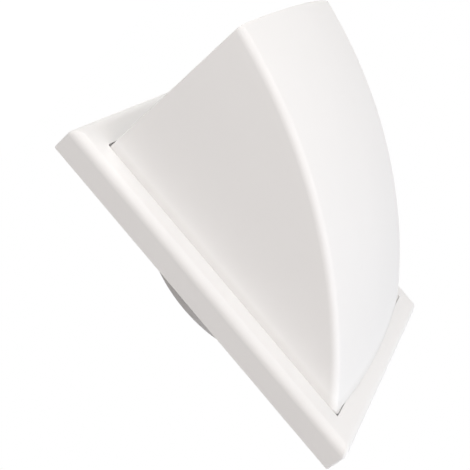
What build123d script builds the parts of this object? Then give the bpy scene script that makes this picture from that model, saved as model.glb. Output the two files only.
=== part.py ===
from build123d import *
import os
from math import atan, degrees, radians, sqrt, tan

# Exterior vent cover: a square wall frame with a duct spigot behind it, a curved hood
# clipped into the frame's opening, and a flap that hangs in front of the duct.
# X points right seen from outside, Z up and Y into the wall. The wall is the plane y = 0
# and the duct's axis is the Y axis. Lengths are millimetres, angles are degrees.

# Wall frame
frame_side = 190.0  # width and height over the skirt
frame_depth = 14.2  # wall to the border's front face
frame_edge_radius = 4.6  # round along the border's outer front edge
frame_corner_radius = 1.6  # upright corners of the skirt
frame_wall = 2.4  # skirt, border and walls of the opening
border_width = 14.0  # skirt's outside to the opening
opening_corner_radius = 1.0
floor_thickness = 2.6  # plate at the back of the opening
rib_thickness = 1.6  # stiffeners inside the hollow border
rib_recess = 2.0  # wall to the back of the ribs
ribs_per_side = 4
least_radius = 0.3  # inside rounds and chamfers are never smaller than this

# Duct spigot and screw holes
spigot_diameter = 99.5
spigot_length = 30.0
spigot_wall = 2.2
spigot_lead = 0.8  # chamfer round the free end
screw_hole_diameter = 4.8
screw_pitch = 132.0  # between hole centres, both ways

# Hood
hood_radius = 281.3  # side profile of the front, along its middle
hood_reach = 101.2  # wall to the middle of the front lip
hood_lap = 3.3  # how far the front's middle stands over the top border
crown_radius = 708.0  # the front's bow across its lip, seen from above
cheek_draft = 3.0  # each cheek leans in by this angle towards the lip
hood_wall = 2.2
hood_edge_radius = 4.0  # round between the front and each cheek
hood_inner_chamfer = 2.4  # inside the same edges
hood_lip_land = 1.5  # straight end of the side profile, above the lip
hood_lip_radius = 0.6  # outer edge of the mouth
hood_clearance = 0.15  # each cheek to the opening's wall
hood_seat = 0.1  # foot of the front to the border's face
mouth_gap = 1.3  # opening's lower wall to the mouth
mouth_rise = 0.45  # the mouth climbs towards the lip by this angle
collar_drop = 0.7  # opening's upper wall to the top of the hood's collar
collar_corner_radius = 2.5
collar_floor_gap = 0.3  # foot of the collar to the floor

# Clips that hold the hood's collar in the opening
clip_length = 12.0
clip_depth = 4.5  # along the way the hood goes in
clip_height = 1.2  # catch over the cheek
clip_setback = 4.7  # border's front face to the catch
clip_clearance = 0.3

# Flap, its seat and its hinge
seat_width = 3.0  # ring round the bore
seat_height = 2.0
flap_thickness = 1.6
flap_overlap = 3.0  # flap's edge past the seat
flap_corner_radius = 12.0
flap_rim_height = 3.0
flap_rim_wall = 1.4
flap_gap = 0.3  # flap to its seat, and barrel to the floor
flap_side_gap = 0.4  # flap to each ear
barrel_radius = 2.4
barrel_room = 1.5  # seat to the barrel
pivot_radius = 1.6
pivot_clearance = 0.06
ear_thickness = 3.4
ear_wall = 1.8  # material round the pivot's hole
ear_mouth = 2.6  # snap-in slot, narrower than the pivot

# Sizes that follow
opening_side = frame_side - 2 * border_width
bore_radius = spigot_diameter / 2 - spigot_wall
rib_pitch = opening_side / ribs_per_side
clip_offset = opening_side / 2 - rib_pitch  # clips sit midway between two ribs
catch_front = frame_depth - clip_setback
catch_back = catch_front - clip_depth

hood_width = opening_side - 2 * hood_clearance
hood_top = opening_side / 2 + hood_lap
hood_foot = frame_depth + hood_seat
collar_top = opening_side / 2 - collar_drop
mouth_height = mouth_gap - opening_side / 2
lip_height = mouth_height + (hood_reach - frame_depth) * tan(radians(mouth_rise))
beyond = frame_side + hood_reach  # past the whole cover, for cuts

seat_radius = bore_radius + seat_width
flap_half_width = seat_radius + flap_overlap
flap_back = floor_thickness + seat_height + flap_gap
flap_front = flap_back + flap_thickness
hinge_front = floor_thickness + flap_gap + barrel_radius
hinge_height = seat_radius + barrel_room + barrel_radius
hinge_axis = Plane.YZ.shift_origin((0, -hinge_front, hinge_height))


def prism(outline, back, front):
    """An outline in X and Z, standing from back to front millimetres before the wall."""
    return extrude(Plane.XZ.offset(back) * outline, front - back)


def square(side, radius=0):
    """A square outline about the duct's axis, with rounded corners if a radius is given."""
    return RectangleRounded(side, side, radius) if radius else Rectangle(side, side)


def front_edges(solid):
    return solid.edges().group_by(Axis.Y)[0]


def both_sides(solid):
    """The solid and its mirror image across the middle of the cover."""
    return [solid, mirror(solid, Plane.YZ)]


# Wall frame
def border_ribs():
    """Short webs across the hollow border, the same number on each side."""
    places = GridLocations(rib_pitch, frame_side - border_width, ribs_per_side, 2)
    rows = Sketch() + [place * Rectangle(rib_thickness, border_width) for place in places]
    return prism(rows + Rot(0, 0, 90) * rows, rib_recess, frame_depth)


def border_hollow():
    """Space behind the border, between the skirt and the walls of the opening."""
    hollow = prism(square(frame_side - 2 * frame_wall), 0, frame_depth - frame_wall)
    hollow = chamfer(front_edges(hollow), max(frame_edge_radius - frame_wall, least_radius))
    hollow -= prism(square(opening_side + 2 * frame_wall), 0, frame_depth)
    return hollow - border_ribs()


def clip_windows():
    """Slots in the side walls of the opening that take the hood's catches."""
    slots = GridLocations(opening_side + frame_wall, 2 * clip_offset, 2, 2)
    outline = Rectangle(2 * frame_wall, clip_length + 2 * clip_clearance)
    return prism(
        Sketch() + [place * outline for place in slots],
        catch_back - clip_clearance,
        catch_front + clip_clearance,
    )


def duct_spigot():
    """Outside of the spigot, with a lead round its free end, and the ring that seats the flap."""
    tube = prism(Circle(spigot_diameter / 2), -spigot_length, floor_thickness)
    tube = chamfer(tube.edges().group_by(Axis.Y)[-1], spigot_lead)
    return tube + prism(Circle(seat_radius), 0, floor_thickness + seat_height)


def hinge_ear():
    """Lug on the floor that holds one pivot, open to the front so that the pivot snaps in."""
    radius = pivot_radius + pivot_clearance + ear_wall
    foot = Pos(hinge_front / 2, 0) * Rectangle(hinge_front, 2 * radius)
    slot = Pos(-radius, 0) * Rectangle(2 * radius, ear_mouth)
    profile = Circle(radius) + foot - Circle(pivot_radius + pivot_clearance) - slot
    return extrude(hinge_axis.offset(flap_half_width + flap_side_gap) * profile, ear_thickness)


def wall_frame():
    """One moulding: skirt, border, floor, spigot, flap seat and hinge ears."""
    block = prism(square(frame_side, frame_corner_radius), 0, frame_depth)
    frame = fillet(front_edges(block), frame_edge_radius) - border_hollow()
    frame -= prism(square(opening_side, opening_corner_radius), floor_thickness, frame_depth)
    frame = frame + duct_spigot() + both_sides(hinge_ear())
    frame -= prism(Circle(bore_radius), -spigot_length, frame_depth)
    holes = GridLocations(screw_pitch, screw_pitch, 2, 2)
    screws = Sketch() + [place * Circle(screw_hole_diameter / 2) for place in holes]
    return frame - prism(screws, 0, floor_thickness) - clip_windows()


# Hood
def profile_centre():
    """Y and Z of the centre of the front's side profile, which ends at the lip and the foot."""
    lip = Vector(-hood_reach, lip_height)
    foot = Vector(-frame_depth, hood_top)
    chord = foot - lip
    stand_off = sqrt(hood_radius**2 - (chord.length / 2) ** 2)
    return (lip + foot) / 2 + Vector(chord.Y, -chord.X).normalized() * stand_off


def front_profile(inset):
    """Side view of all that lies behind the front: an arc that ends straight at the lip."""
    centre = profile_centre()

    def on_arc(height):
        rise = height - centre.Y
        return centre + Vector(-sqrt((hood_radius - inset) ** 2 - rise**2), rise)

    top = on_arc(frame_side / 2)
    land_top = on_arc(lip_height + hood_lip_land)
    uphill = Vector(land_top.Y - centre.Y, centre.X - land_top.X).normalized()
    land_foot = land_top - uphill * 2 * hood_lip_land
    arc = TangentArc(land_top, top, tangent=uphill)
    back = Polyline(top, (frame_side, top.Y), (frame_side, land_foot.Y), land_foot, land_top)
    return make_face(arc + back)


def bowed_front(inset):
    """Everything behind the front: its side profile swung about an axis square to the mouth."""
    profile = Plane.YZ * front_profile(inset)
    centre = (0, crown_radius - hood_reach, lip_height)
    upright = Axis(centre, (0, tan(radians(mouth_rise)), 1))
    swing = 2 * degrees(atan(hood_width / (crown_radius - hood_reach)))
    return revolve(profile.rotate(upright, -swing / 2), upright, swing)


def between_cheeks(inset):
    """Wedge between the two cheeks, which lean in towards the lip."""
    half = hood_width / 2 - inset
    lean = tan(radians(cheek_draft))
    back, front = frame_side, hood_reach + frame_depth
    wedge = Polyline(
        (half + (back + hood_foot) * lean, back),
        (half - (front - hood_foot) * lean, -front),
        ((front - hood_foot) * lean - half, -front),
        (-half - (back + hood_foot) * lean, back),
        close=True,
    )
    return extrude(make_face(wedge), frame_side, both=True)


def cowl_ridges(inset):
    """The two ridges of the hood's full form, where its front meets the cheeks."""
    form = bowed_front(inset) & between_cheeks(inset)
    front = form.faces().filter_by(GeomType.TORUS)[0]
    across = front.edges().sort_by(Axis.X)
    return [across[0], across[-1]]


def collar_prism(inset, back, front):
    """The collar's outline with rounded upper corners, open downwards past the mouth."""
    height = collar_top - inset + frame_side
    outline = Pos(0, collar_top - inset - height / 2) * Rectangle(hood_width - 2 * inset, height)
    upper = outline.vertices().group_by(Axis.Y)[-1]
    outline = fillet(upper, max(collar_corner_radius - inset, least_radius))
    return prism(outline, back, front)


def clip_catch():
    """Wedge on the right cheek that springs into a window of the frame."""
    inside = hood_width / 2 - hood_wall / 2
    outside = hood_width / 2 + clip_height
    wedge = Polyline(
        (inside, -catch_back),
        (inside, -catch_front),
        (outside, -catch_front),
        (hood_width / 2, -catch_back),
        close=True,
    )
    return extrude(make_face(wedge), clip_length / 2, both=True)


def cowl_hood():
    """One moulding: bowed front, two flat cheeks and the collar that drops into the frame."""
    in_front = prism(square(2 * beyond), hood_foot, beyond)
    mouth = Pos(0, -frame_depth, mouth_height) * Rot(X=-mouth_rise)
    below_mouth = mouth * Pos(0, 0, -beyond) * Box(2 * beyond, 2 * beyond, 2 * beyond)
    cowl = (fillet(cowl_ridges(0), hood_edge_radius) & in_front) - below_mouth
    mouth_edges = cowl.faces().sort_by(Axis.Z)[0].edges().sort_by(Axis.Y)
    cowl = fillet(mouth_edges[:-1], hood_lip_radius)
    collar = collar_prism(0, floor_thickness + collar_floor_gap, hood_foot) - below_mouth
    hollow = chamfer(cowl_ridges(hood_wall), hood_inner_chamfer)
    hood = cowl + collar - (hollow & collar_prism(hood_wall, 0, beyond))
    for height in (-clip_offset, clip_offset):
        hood += both_sides(Pos(0, 0, height) * clip_catch())
    return hood


# Flap
def flap_outline(inset):
    """Front view of the flap below its hinge, with rounded lower corners."""
    width = 2 * (flap_half_width - inset)
    height = hinge_height + flap_half_width - inset
    outline = Pos(0, hinge_height - height / 2) * Rectangle(width, height)
    lower = outline.vertices().group_by(Axis.Y)[0]
    return fillet(lower, max(flap_corner_radius - inset, least_radius))


def backdraught_flap():
    """One moulding: thin plate with a stiffening rim, a hinge barrel and two pivots."""
    plate = prism(flap_outline(0), flap_back, flap_front)
    rim = flap_outline(0) - flap_outline(flap_rim_wall)
    flap = plate + prism(rim, flap_back, flap_front + flap_rim_height)
    barrel = hinge_axis * Circle(barrel_radius)
    pivot = hinge_axis * Circle(pivot_radius)
    flap += extrude(barrel, flap_half_width, both=True)
    return flap + extrude(pivot, flap_half_width + flap_side_gap + ear_thickness, both=True)


os.makedirs("parts", exist_ok=True)
for make_piece in (wall_frame, cowl_hood, backdraught_flap):
    export_step(make_piece(), f"parts/{make_piece.__name__}.step")
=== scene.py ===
from math import radians

import bpy
from mathutils import Matrix, Vector


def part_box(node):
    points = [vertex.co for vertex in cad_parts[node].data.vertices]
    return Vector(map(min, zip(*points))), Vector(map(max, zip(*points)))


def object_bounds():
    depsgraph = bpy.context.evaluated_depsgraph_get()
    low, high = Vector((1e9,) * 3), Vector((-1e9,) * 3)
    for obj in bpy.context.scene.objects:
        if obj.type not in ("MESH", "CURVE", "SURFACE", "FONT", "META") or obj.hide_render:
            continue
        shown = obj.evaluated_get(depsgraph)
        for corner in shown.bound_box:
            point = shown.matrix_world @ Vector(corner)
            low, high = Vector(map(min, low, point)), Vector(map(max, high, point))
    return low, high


# White moulded wall vent cover on a white studio ground. Lengths are metres, angles are degrees.

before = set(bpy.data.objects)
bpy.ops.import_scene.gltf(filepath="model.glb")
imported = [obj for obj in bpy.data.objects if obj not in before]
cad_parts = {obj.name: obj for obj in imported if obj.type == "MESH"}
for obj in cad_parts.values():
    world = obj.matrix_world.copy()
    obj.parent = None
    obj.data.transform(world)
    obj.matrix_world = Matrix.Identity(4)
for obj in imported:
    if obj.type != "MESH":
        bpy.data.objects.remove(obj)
cad_low, cad_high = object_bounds()

# Camera: it faces the right cheek, rolled so that the hood's mouth looks up and to the left
camera_target = Vector((0.0212, -0.0052, -0.0120))
camera_distance = 0.5078
camera_azimuth = 64.53
camera_elevation = -0.44
camera_roll = 139.85
camera_lens = 0.07586
camera_sensor = 0.036
camera_clip_share = 0.01
mm_per_metre = 1000

# Studio: where each lamp stands round the cover, its watts and colour, and any distance and size of its own
studio_centre = Vector((0, -0.04, 0))
plain_light = (1.0, 0.99, 0.965)
warm_light = (1.0, 0.93, 0.905)
cool_light = (0.89, 0.945, 1.0)
lamp_distance = 1.5
lamp_size = 1.2
lamps = {
    "key": {"azimuth": 40, "elevation": -18, "watts": 11.5, "colour": plain_light},
    "side": {"azimuth": 54, "elevation": 28, "watts": 5.2, "colour": warm_light},
    "top": {"azimuth": 10, "elevation": 75, "watts": 13.4, "colour": cool_light},
    "low": {
        "azimuth": -20, "elevation": -40, "watts": 3.4, "colour": plain_light,
        "distance": 1.3, "size": 0.6,
    },
    "back": {"azimuth": 220, "elevation": 25, "watts": 9, "colour": plain_light},
}
ambient_strength = 0.26
floor_drop = 1.0
floor_side = 8.0
floor_colour = (0.8, 0.8, 0.8)
floor_glow = 0.8

# White plastic
plastic_colour = (0.866, 0.861, 0.857)
plastic_shade = (0.846, 0.84, 0.835)
plastic_roughness = (0.5, 0.6)
plastic_specular = 0.15
grain_size = 0.0006
grain_detail = 1
grain_height = 0.000012
flow_size = 0.045
flow_detail = 2
flow_height = 0.00006

# Painted shade: a faint darker band on the hood where it enters the frame, darkening the crease between the
# parts and drawing the joint as a line
painted_shade_colour = (0.755, 0.745, 0.735)
painted_shade_reach = 0.004

# Sockets of a Mix node that mixes colours, whose names are not unique
mix_factor, mix_first, mix_second, mix_result = 0, 6, 7, 2


def add_node(tree, kind, **settings):
    """A new node with its properties and, by their names, its input values set."""
    node = tree.nodes.new(kind)
    for name, value in settings.items():
        if name in node.inputs:
            node.inputs[name].default_value = value
        else:
            setattr(node, name, value)
    return node


def noise(tree, place, size, detail):
    """Noise over the object's own coordinates, with features of about the given size."""
    texture = add_node(tree, "ShaderNodeTexNoise", Scale=1 / size, Detail=detail)
    tree.links.new(place.outputs["Object"], texture.inputs["Vector"])
    return texture


def bump(tree, texture, height, below=None):
    """Relief of the given height from a texture, on top of another relief if one is given."""
    relief = add_node(tree, "ShaderNodeBump", Strength=1.0, Distance=height)
    tree.links.new(texture.outputs["Fac"], relief.inputs["Height"])
    if below:
        tree.links.new(below.outputs["Normal"], relief.inputs["Normal"])
    return relief


def with_painted_shade(tree, place, colour, joint):
    """A colour with painted shade that darkens over the last few millimetres before the joint, which lies
    across Y.
    """
    along = add_node(tree, "ShaderNodeSeparateXYZ")
    nearness = add_node(tree, "ShaderNodeMapRange")
    nearness.inputs["From Min"].default_value = joint - painted_shade_reach
    nearness.inputs["From Max"].default_value = joint
    band = add_node(tree, "ShaderNodeMix", data_type="RGBA")
    band.inputs[mix_second].default_value = (*painted_shade_colour, 1)
    tree.links.new(place.outputs["Object"], along.inputs[0])
    tree.links.new(along.outputs["Y"], nearness.inputs["Value"])
    tree.links.new(nearness.outputs["Result"], band.inputs[mix_factor])
    tree.links.new(colour, band.inputs[mix_first])
    return band.outputs[mix_result]


def white_plastic(name, joint=None):
    """Satin moulded plastic: faint flow marks, a fine eroded grain and an uneven gloss."""
    material = bpy.data.materials.new(name)
    material.use_nodes = True
    tree = material.node_tree
    surface = tree.nodes["Principled BSDF"]
    place = add_node(tree, "ShaderNodeTexCoord")
    surface.inputs["Specular IOR Level"].default_value = plastic_specular
    flow = noise(tree, place, flow_size, flow_detail)
    grain = noise(tree, place, grain_size, grain_detail)

    tint = add_node(tree, "ShaderNodeMix", data_type="RGBA")
    tint.inputs[mix_first].default_value = (*plastic_shade, 1)
    tint.inputs[mix_second].default_value = (*plastic_colour, 1)
    tree.links.new(flow.outputs["Fac"], tint.inputs[mix_factor])
    colour = tint.outputs[mix_result]
    # Painted shade darkens the colour over the last few millimetres before the joint
    if joint is not None:
        colour = with_painted_shade(tree, place, colour, joint)
    tree.links.new(colour, surface.inputs["Base Color"])

    gloss = add_node(tree, "ShaderNodeMapRange")
    gloss.inputs["To Min"].default_value, gloss.inputs["To Max"].default_value = plastic_roughness
    tree.links.new(grain.outputs["Fac"], gloss.inputs["Value"])
    tree.links.new(gloss.outputs["Result"], surface.inputs["Roughness"])

    relief = bump(tree, grain, grain_height, bump(tree, flow, flow_height))
    tree.links.new(relief.outputs["Normal"], surface.inputs["Normal"])
    return material


def dress(node, material):
    """Gives a CAD node its finish."""
    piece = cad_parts[node]
    piece.data.materials.clear()
    piece.data.materials.append(material)


def turned(azimuth, elevation, roll=0):
    """Orientation of a camera or lamp that looks at the cover from those angles."""
    return (
        Matrix.Rotation(radians(azimuth), 4, "Z")
        @ Matrix.Rotation(radians(90 - elevation), 4, "X")
        @ Matrix.Rotation(radians(roll), 4, "Z")
    )


def stand(thing, target, distance, turn):
    """Links a camera or lamp to the scene, at a distance from its target."""
    holder = bpy.data.objects.new(thing.name, thing)
    holder.matrix_world = Matrix.Translation(target) @ turn @ Matrix.Translation((0, 0, distance))
    bpy.context.scene.collection.objects.link(holder)
    return holder


def make_camera():
    camera = bpy.data.cameras.new("camera")
    camera.sensor_width = camera_sensor * mm_per_metre
    camera.lens = camera_lens * mm_per_metre
    camera.clip_start = camera_distance * camera_clip_share
    turn = turned(camera_azimuth, camera_elevation, camera_roll)
    bpy.context.scene.camera = stand(camera, camera_target, camera_distance, turn)


def make_lamp(name, azimuth, elevation, watts, colour, distance=lamp_distance, size=lamp_size):
    lamp = bpy.data.lights.new(name, "AREA")
    lamp.shape = "DISK"
    lamp.size = size
    lamp.energy = watts
    lamp.color = colour
    stand(lamp, studio_centre, distance, turned(azimuth, elevation))


def seen_directly(tree):
    """One where the camera sees a surface by itself, in a gloss or through glass, else nought."""
    path = add_node(tree, "ShaderNodeLightPath")
    seen = path.outputs["Is Camera Ray"]
    for kind in ("Is Glossy Ray", "Is Transmission Ray"):
        either = add_node(tree, "ShaderNodeMath", operation="MAXIMUM")
        tree.links.new(seen, either.inputs[0])
        tree.links.new(path.outputs[kind], either.inputs[1])
        seen = either.outputs[0]
    return seen


def make_world():
    """Soft light from all round, and a plain white ground behind the cover."""
    world = bpy.data.worlds.new("studio")
    world.use_nodes = True
    tree = world.node_tree
    ambient = tree.nodes["Background"]
    ambient.inputs["Color"].default_value = (*warm_light, 1)
    ambient.inputs["Strength"].default_value = ambient_strength
    white = add_node(tree, "ShaderNodeBackground", Color=(1, 1, 1, 1), Strength=1.0)
    either = add_node(tree, "ShaderNodeMixShader")
    tree.links.new(seen_directly(tree), either.inputs[0])
    tree.links.new(ambient.outputs[0], either.inputs[1])
    tree.links.new(white.outputs[0], either.inputs[2])
    tree.links.new(either.outputs[0], tree.nodes["World Output"].inputs["Surface"])
    bpy.context.scene.world = world


def make_floor():
    """A pale floor well below the cover, lifted to white where it is seen directly."""
    bpy.ops.mesh.primitive_plane_add(size=floor_side, location=(0, 0, cad_low.z - floor_drop))
    floor = bpy.context.object
    floor.name = "floor"
    material = bpy.data.materials.new("floor")
    material.use_nodes = True
    tree = material.node_tree
    tree.nodes.remove(tree.nodes["Principled BSDF"])
    matt = add_node(tree, "ShaderNodeBsdfDiffuse", Color=(*floor_colour, 1))
    glow = add_node(tree, "ShaderNodeEmission", Color=(1, 1, 1, 1))
    level = add_node(tree, "ShaderNodeMath", operation="MULTIPLY")
    level.inputs[1].default_value = floor_glow
    both = add_node(tree, "ShaderNodeAddShader")
    tree.links.new(seen_directly(tree), level.inputs[0])
    tree.links.new(level.outputs[0], glow.inputs["Strength"])
    tree.links.new(matt.outputs[0], both.inputs[0])
    tree.links.new(glow.outputs[0], both.inputs[1])
    tree.links.new(both.outputs[0], tree.nodes["Material Output"].inputs["Surface"])
    floor.data.materials.append(material)


bpy.context.scene.view_settings.view_transform = "Standard"
frame_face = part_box("wall_frame")[0].y
dress("wall_frame", white_plastic("frame_plastic"))
# The hood's colour gets painted shade where it enters the frame
dress("cowl_hood", white_plastic("hood_plastic", joint=frame_face))
dress("backdraught_flap", white_plastic("flap_plastic"))
make_camera()
for name, settings in lamps.items():
    make_lamp(name, **settings)
make_world()
make_floor()
